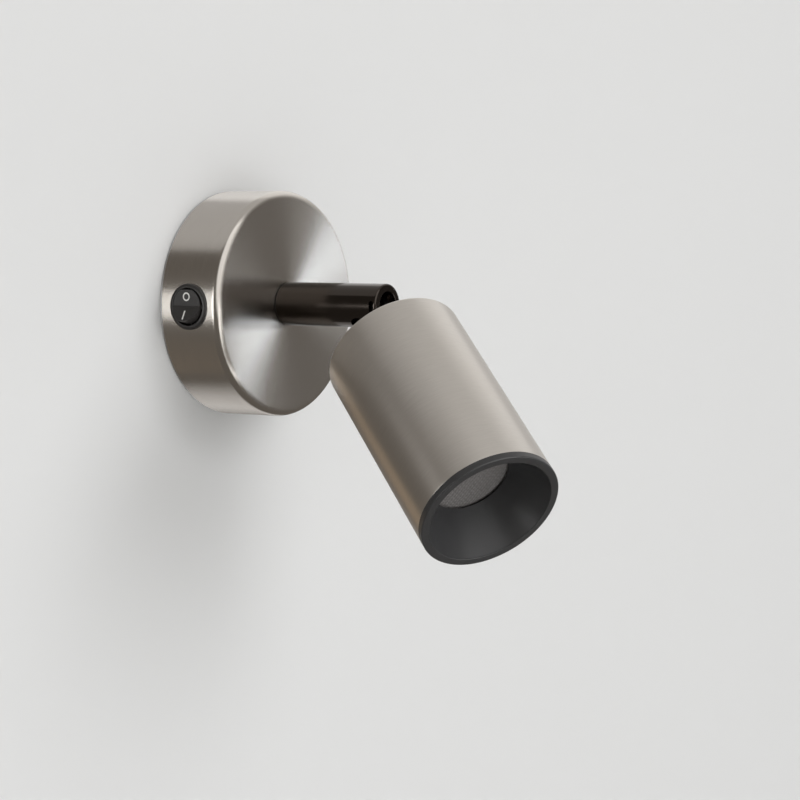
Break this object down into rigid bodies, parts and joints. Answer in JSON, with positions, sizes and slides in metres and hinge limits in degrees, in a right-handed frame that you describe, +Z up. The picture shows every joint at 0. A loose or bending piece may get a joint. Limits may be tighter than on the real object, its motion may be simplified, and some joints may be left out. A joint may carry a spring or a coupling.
{
  "type": "bedside wall reading lamp",
  "caption": "Wall spot lamp: round canopy with an off/on rocker, swivelling arm and a tilting cylinder head with a recessed black baffle over a twist-lock reflector lamp.",
  "frame": {"origin": "centre of the mounting plate's back face, on the wall and on the canopy's axis", "axes": "+Y into the wall, the lamp stands out towards -Y; +Z up; the switch is on the -X side"},
  "size_m": [0.1224, 0.1873, 0.1532],
  "materials": {
    "brushed_nickel": "fine-brushed nickel plate on steel",
    "black_nickel": "glossy black nickel plate",
    "zinc_plate": "zinc-plated steel, satin",
    "spring_steel": "bare spring steel, satin",
    "tinned_copper": "tin-plated copper alloy",
    "brass": "bare brass, satin",
    "switch_plastic": "moulded, fine satin",
    "mark_white": "two-shot moulded, satin",
    "white_plastic": "moulded, semi-gloss",
    "lamp_white": "moulded, semi-gloss",
    "lens_frosted": "prismatic diffuser, satin",
    "nylon": "nylon, satin",
    "black_die_cast": "black die-cast zinc, matt",
    "black_paint": "matt black anodised aluminium",
    "steatite": "unglazed steatite ceramic",
    "lead_blue": "insulated lead",
    "lead_brown": "insulated lead",
    "lead_green": "insulated lead, green and yellow",
    "lead_sleeved": "heat-proof insulated lead"
  },
  "bodies": {
    "wall_mount": {"mounting_plate": "zinc_plate", "earth_screw": "brass", "terminal_block": "white_plastic", "terminal_sleeves": "brass", "terminal_screws": "zinc_plate", "block_screw": "zinc_plate", "canopy": "brushed_nickel", "canopy_screws": "zinc_plate", "stop_peg": "zinc_plate", "arm_bush": "nylon", "disc_spring": "spring_steel", "switch_housing": "switch_plastic", "switch_tabs": "brass", "neutral_lead": "lead_blue", "switch_leads": "lead_brown", "earth_lead": "lead_green", "earth_tag": "tinned_copper"},
    "rocker": {"switch_rocker": "switch_plastic", "rocker_marks": "mark_white"},
    "arm": {"arm_tube": "black_nickel", "arm_stem": "zinc_plate", "stop_washer": "zinc_plate", "stem_nuts": "brass", "stem_grommet": "nylon", "arm_leads": "lead_sleeved", "joint_yoke": "black_die_cast", "pivot_screws": "zinc_plate", "friction_washers": "brass"},
    "head": {"knuckle": "black_nickel", "neck_collar": "black_nickel", "head_shell": "brushed_nickel", "head_washer": "zinc_plate", "head_nut": "brass", "holder_bracket": "zinc_plate", "lampholder": "steatite", "holder_contacts": "brass", "holder_screws": "zinc_plate", "head_leads": "lead_sleeved"},
    "lamp": {"lamp_body": "lamp_white", "lamp_pins": "brass", "lamp_lens": "lens_frosted"},
    "baffle": {"baffle": "black_paint", "baffle_springs": "spring_steel"}
  },
  "joints": [
    {"name": "arm_swivel", "type": "hinge", "parent": "wall_mount", "child": "arm", "pos_m": [0, -0.032, 0], "axis": [0, 1, 0], "range_deg": [-199, 141]},
    {"name": "head_tilt", "type": "hinge", "parent": "arm", "child": "head", "pos_m": [0, -0.075, 0], "axis": [0.8746, 0, -0.4848], "range_deg": [-56, 49]},
    {"name": "rocker_press", "type": "hinge", "parent": "wall_mount", "child": "rocker", "pos_m": [-0.05026, -0.0163, 0], "axis": [0, -1, 0], "range_deg": [0, 27]},
    {"name": "lamp_turn", "type": "hinge", "parent": "head", "child": "lamp", "pos_m": [-0.02132, -0.11898, -0.03847], "axis": [-0.3428, -0.7071, -0.6184], "range_deg": [0, 25]},
    {"name": "baffle_pull", "type": "slide", "parent": "head", "child": "baffle", "axis": [-0.3428, -0.7071, -0.6184], "range_m": [0, 0.014]}
  ]
}
